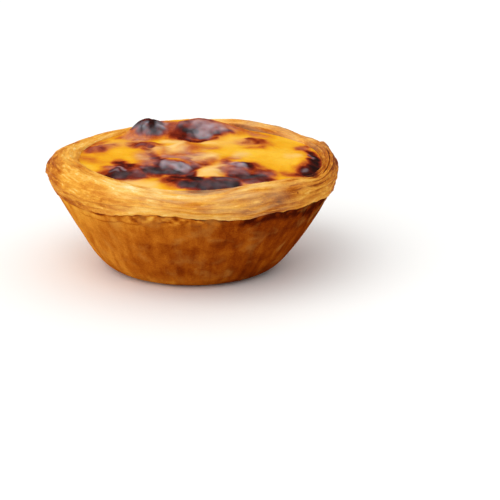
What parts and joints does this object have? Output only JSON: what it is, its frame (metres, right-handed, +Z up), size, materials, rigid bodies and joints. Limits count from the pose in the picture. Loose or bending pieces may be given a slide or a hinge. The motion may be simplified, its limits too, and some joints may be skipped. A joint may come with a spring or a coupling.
{
  "type": "egg tart",
  "caption": "Round custard tart: a flared cup of laminated pastry with a leafy rim, filled to just under the rim with baked custard whose skin has risen in scorched blisters",
  "frame": {"origin": "middle of the flat face that the tart stands on", "axes": "+Z up out of the custard, -Y the side that faces the viewer, +X to the viewer's right"},
  "size_m": [0.0757, 0.0752, 0.0323],
  "materials": {
    "baked_pastry": "golden brown baked laminated pastry, satin with a little butter sheen",
    "baked_custard": "yellow baked custard with a moist, slightly glossy skin and scorched patches"
  },
  "bodies": {
    "root": {"pastry_shell": "baked_pastry", "custard": "baked_custard"}
  },
  "joints": []
}
